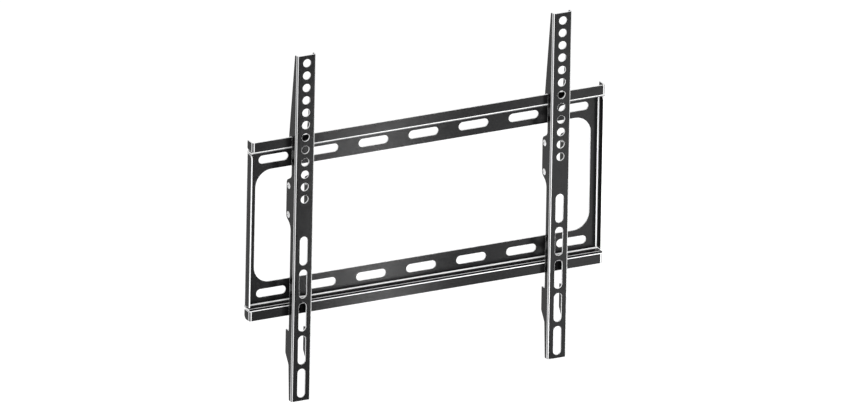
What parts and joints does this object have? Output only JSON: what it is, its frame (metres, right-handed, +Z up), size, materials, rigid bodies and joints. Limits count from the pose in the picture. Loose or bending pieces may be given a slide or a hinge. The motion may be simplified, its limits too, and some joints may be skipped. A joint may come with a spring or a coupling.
{
  "type": "tv mount",
  "caption": "Fixed low-profile wall mount for a flat screen: slotted frame plate with folded lips, and perforated upright channel brackets that hook over the upper lip.",
  "frame": {"origin": "middle of the wall plate on its wall face, which is the centre of the wall slots' pattern", "axes": "+X to the viewer's right along the plate, +Y into the wall, +Z up; the screen is on the -Y side"},
  "size_m": [0.448, 0.0258, 0.4185],
  "materials": {
    "black_powder_coat": "satin",
    "rivet_metal": "satin"
  },
  "bodies": {
    "root": {"wall_plate": "black_powder_coat", "bracket_left": "black_powder_coat", "bracket_right": "black_powder_coat", "rivet_left_outer_upper": "rivet_metal", "rivet_left_outer_lower": "rivet_metal", "rivet_left_inner_upper": "rivet_metal", "rivet_left_inner_lower": "rivet_metal", "rivet_right_outer_upper": "rivet_metal", "rivet_right_outer_lower": "rivet_metal", "rivet_right_inner_upper": "rivet_metal", "rivet_right_inner_lower": "rivet_metal"}
  },
  "joints": []
}
